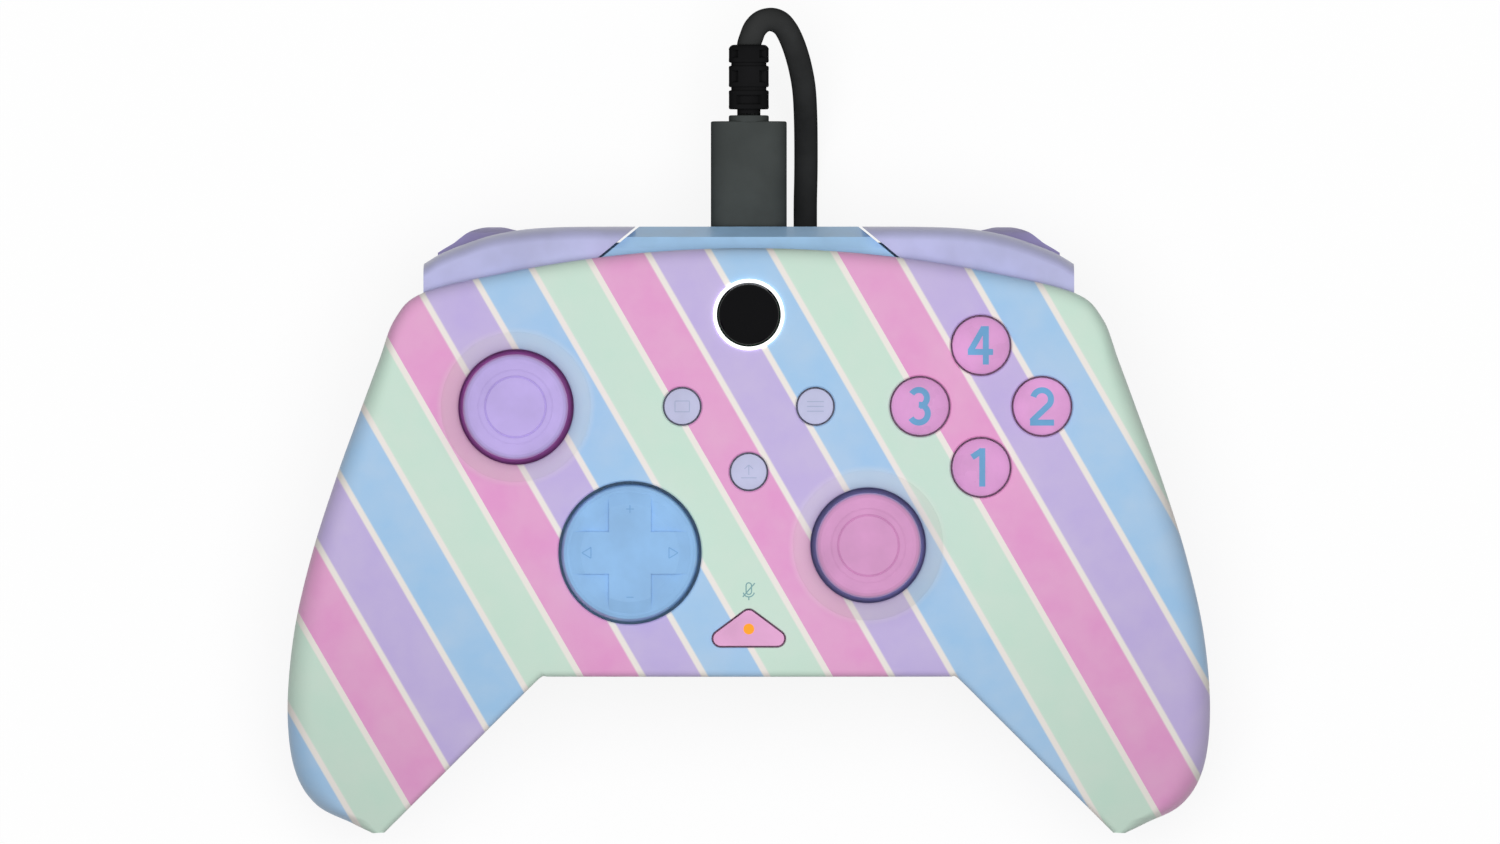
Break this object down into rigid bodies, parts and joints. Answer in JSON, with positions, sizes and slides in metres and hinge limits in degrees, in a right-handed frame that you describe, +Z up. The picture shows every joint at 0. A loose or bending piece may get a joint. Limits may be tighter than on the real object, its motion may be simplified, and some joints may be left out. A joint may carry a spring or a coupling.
{
  "type": "wired gamepad",
  "caption": "Two-handed wired gamepad with tilting thumb sticks, a D-pad, round face buttons, bumpers, sprung triggers and rumble motors, lying face up with its cord coiled beneath.",
  "frame": {"origin": "on the resting surface, under the middle of the pad's bounding box, cord left out", "axes": "+X to the right of the face, +Y from the grips to the bumpers, +Z up along the stick axes"},
  "size_m": [0.1544, 0.1381, 0.0586],
  "materials": {
    "face_print": "pastel streaks printed under a satin clear coat",
    "rear_lavender": "fine moulded grain",
    "bridge_blue": "smooth satin",
    "bumper_lavender": "smooth satin",
    "trigger_lavender": "fine moulded grain",
    "button_pink": "translucent, glossy",
    "home_black": "glossy black",
    "ring_white": "translucent light guide",
    "small_lilac": "satin",
    "function_pink": "satin",
    "light_orange": "lit light guide",
    "dpad_blue": "satin",
    "stick_lilac": "satin, soft edge",
    "stick_pink": "satin, soft edge",
    "steel": "drawn or pressed steel",
    "board_green": "solder mask",
    "black_plastic": "moulded",
    "grey_plastic": "moulded",
    "white_plastic": "moulded",
    "membrane_rubber": "silicone rubber",
    "weight_brass": "sintered",
    "plug_black": "fine grain overmould",
    "cord_black": "smooth jacket",
    "tie_black": "woven hook strap"
  },
  "bodies": {
    "body": {"front_shell": "face_print", "rear_shell": "rear_lavender", "shell_screws": "steel", "bridge": "bridge_blue", "main_board": "board_green", "usb_socket": "steel", "headset_jack": "black_plastic", "face_membrane": "membrane_rubber", "home_light_ring": "ring_white", "bumper_switch_left": "black_plastic", "bumper_switch_right": "black_plastic", "trigger_bracket_left": "grey_plastic", "trigger_bracket_right": "grey_plastic", "trigger_pin_left": "steel", "trigger_pin_right": "steel", "dpad_base": "white_plastic", "stick_frame_left": "steel", "stick_frame_right": "steel", "motor_left": "steel", "motor_right": "steel", "usb_plug": "plug_black", "strain_relief": "cord_black", "cord_lead": "cord_black", "cord_coil": "cord_black", "coil_tie": "tie_black", "cord_tail": "cord_black", "far_plug": "plug_black"},
    "bumper_left": {"bumper_left": "bumper_lavender"},
    "bumper_right": {"bumper_right": "bumper_lavender"},
    "trigger_left": {"trigger_left": "trigger_lavender"},
    "trigger_right": {"trigger_right": "trigger_lavender"},
    "button_east": {"button_east": "button_pink"},
    "button_north": {"button_north": "button_pink"},
    "button_west": {"button_west": "button_pink"},
    "button_south": {"button_south": "button_pink"},
    "home_button": {"home_button": "home_black"},
    "view_button": {"view_button": "small_lilac"},
    "menu_button": {"menu_button": "small_lilac"},
    "share_button": {"share_button": "small_lilac"},
    "function_button": {"function_button": "function_pink", "function_light": "light_orange"},
    "dpad_rocker": {"dpad_rocker": "grey_plastic"},
    "dpad": {"dpad": "dpad_blue"},
    "stick_yoke_left": {"stick_yoke_left": "grey_plastic"},
    "stick_trunnion_left": {"stick_trunnion_left": "white_plastic"},
    "stick_arc_left": {"stick_arc_left": "black_plastic"},
    "stick_left": {"stick_lever_left": "steel", "stick_cap_left": "stick_lilac"},
    "weight_left": {"weight_left": "weight_brass"},
    "stick_yoke_right": {"stick_yoke_right": "grey_plastic"},
    "stick_trunnion_right": {"stick_trunnion_right": "white_plastic"},
    "stick_arc_right": {"stick_arc_right": "black_plastic"},
    "stick_right": {"stick_lever_right": "steel", "stick_cap_right": "stick_pink"},
    "weight_right": {"weight_right": "weight_brass"}
  },
  "joints": [
    {"name": "trigger_left_pull", "type": "hinge", "parent": "body", "child": "trigger_left", "pos_m": [-0.044, 0.037, 0.032], "axis": [1, 0, 0], "range_deg": [-15, 0], "stiffness_Nm_per_rad": 0.05, "springref_deg": 17.19},
    {"name": "trigger_right_pull", "type": "hinge", "parent": "body", "child": "trigger_right", "pos_m": [0.044, 0.037, 0.032], "axis": [1, 0, 0], "range_deg": [-15, 0], "stiffness_Nm_per_rad": 0.05, "springref_deg": 17.19},
    {"name": "bumper_left_press", "type": "hinge", "parent": "body", "child": "bumper_left", "pos_m": [-0.0295, 0.0462, 0.037], "axis": [0, 0, 1], "range_deg": [0, 2.5], "stiffness_Nm_per_rad": 0.5, "springref_deg": -1.72},
    {"name": "bumper_right_press", "type": "hinge", "parent": "body", "child": "bumper_right", "pos_m": [0.0295, 0.0462, 0.037], "axis": [0, 0, 1], "range_deg": [-2.5, 0], "stiffness_Nm_per_rad": 0.5, "springref_deg": 1.72},
    {"name": "button_east_press", "type": "slide", "parent": "body", "child": "button_east", "axis": [0, 0, 1], "range_m": [-0.0013, 0], "stiffness_N_per_m": 800, "springref_m": 0.0004},
    {"name": "button_north_press", "type": "slide", "parent": "body", "child": "button_north", "axis": [0, 0, 1], "range_m": [-0.0013, 0], "stiffness_N_per_m": 800, "springref_m": 0.0004},
    {"name": "button_west_press", "type": "slide", "parent": "body", "child": "button_west", "axis": [0, 0, 1], "range_m": [-0.0013, 0], "stiffness_N_per_m": 800, "springref_m": 0.0004},
    {"name": "button_south_press", "type": "slide", "parent": "body", "child": "button_south", "axis": [0, 0, 1], "range_m": [-0.0013, 0], "stiffness_N_per_m": 800, "springref_m": 0.0004},
    {"name": "home_press", "type": "slide", "parent": "body", "child": "home_button", "axis": [0, 0, 1], "range_m": [-0.0008, 0], "stiffness_N_per_m": 1500, "springref_m": 0.0003},
    {"name": "view_press", "type": "slide", "parent": "body", "child": "view_button", "axis": [0, 0, 1], "range_m": [-0.0008, 0], "stiffness_N_per_m": 1500, "springref_m": 0.0003},
    {"name": "menu_press", "type": "slide", "parent": "body", "child": "menu_button", "axis": [0, 0, 1], "range_m": [-0.0008, 0], "stiffness_N_per_m": 1500, "springref_m": 0.0003},
    {"name": "share_press", "type": "slide", "parent": "body", "child": "share_button", "axis": [0, 0, 1], "range_m": [-0.0008, 0], "stiffness_N_per_m": 1500, "springref_m": 0.0003},
    {"name": "function_press", "type": "slide", "parent": "body", "child": "function_button", "axis": [0, 0, 1], "range_m": [-0.0008, 0], "stiffness_N_per_m": 1500, "springref_m": 0.0003},
    {"name": "dpad_tilt_y", "type": "hinge", "parent": "body", "child": "dpad_rocker", "pos_m": [-0.0198, -0.0037, 0.0404], "axis": [1, 0, 0], "range_deg": [-4, 4], "stiffness_Nm_per_rad": 0.15},
    {"name": "dpad_tilt_x", "type": "hinge", "parent": "dpad_rocker", "child": "dpad", "pos_m": [-0.0198, -0.0037, 0.0404], "axis": [0, 1, 0], "range_deg": [-4, 4], "stiffness_Nm_per_rad": 0.15},
    {"name": "stick_left_tilt_y", "type": "hinge", "parent": "body", "child": "stick_yoke_left", "pos_m": [-0.03881, 0.0206, 0.0336], "axis": [1, 0, 0], "range_deg": [-16, 16], "stiffness_Nm_per_rad": 0.03},
    {"name": "stick_left_tilt_x", "type": "hinge", "parent": "stick_yoke_left", "child": "stick_trunnion_left", "pos_m": [-0.03881, 0.0206, 0.0336], "axis": [0, 1, 0], "range_deg": [-16, 16], "stiffness_Nm_per_rad": 0.03},
    {"name": "stick_left_click", "type": "slide", "parent": "stick_trunnion_left", "child": "stick_left", "axis": [0, 0, 1], "range_m": [-0.0005, 0], "stiffness_N_per_m": 6000, "springref_m": 0.0003},
    {"name": "stick_left_arc", "type": "hinge", "parent": "body", "child": "stick_arc_left", "pos_m": [-0.03881, 0.0206, 0.0336], "axis": [0, 1, 0], "range_deg": [-16, 16]},
    {"name": "stick_right_tilt_y", "type": "hinge", "parent": "body", "child": "stick_yoke_right", "pos_m": [0.0199, -0.00245, 0.0336], "axis": [1, 0, 0], "range_deg": [-16, 16], "stiffness_Nm_per_rad": 0.03},
    {"name": "stick_right_tilt_x", "type": "hinge", "parent": "stick_yoke_right", "child": "stick_trunnion_right", "pos_m": [0.0199, -0.00245, 0.0336], "axis": [0, 1, 0], "range_deg": [-16, 16], "stiffness_Nm_per_rad": 0.03},
    {"name": "stick_right_click", "type": "slide", "parent": "stick_trunnion_right", "child": "stick_right", "axis": [0, 0, 1], "range_m": [-0.0005, 0], "stiffness_N_per_m": 6000, "springref_m": 0.0003},
    {"name": "stick_right_arc", "type": "hinge", "parent": "body", "child": "stick_arc_right", "pos_m": [0.0199, -0.00245, 0.0336], "axis": [0, 1, 0], "range_deg": [-16, 16]},
    {"name": "weight_left_spin", "type": "hinge", "parent": "body", "child": "weight_left", "pos_m": [-0.05743, -0.0212, 0.0195], "axis": [0, 1, 0], "continuous": true},
    {"name": "weight_right_spin", "type": "hinge", "parent": "body", "child": "weight_right", "pos_m": [0.05743, -0.0212, 0.0195], "axis": [0, 1, 0], "continuous": true}
  ],
  "couplings": [
    {"joint": "stick_left_arc", "follows": "stick_left_tilt_x", "ratio": 1},
    {"joint": "stick_right_arc", "follows": "stick_right_tilt_x", "ratio": 1}
  ]
}
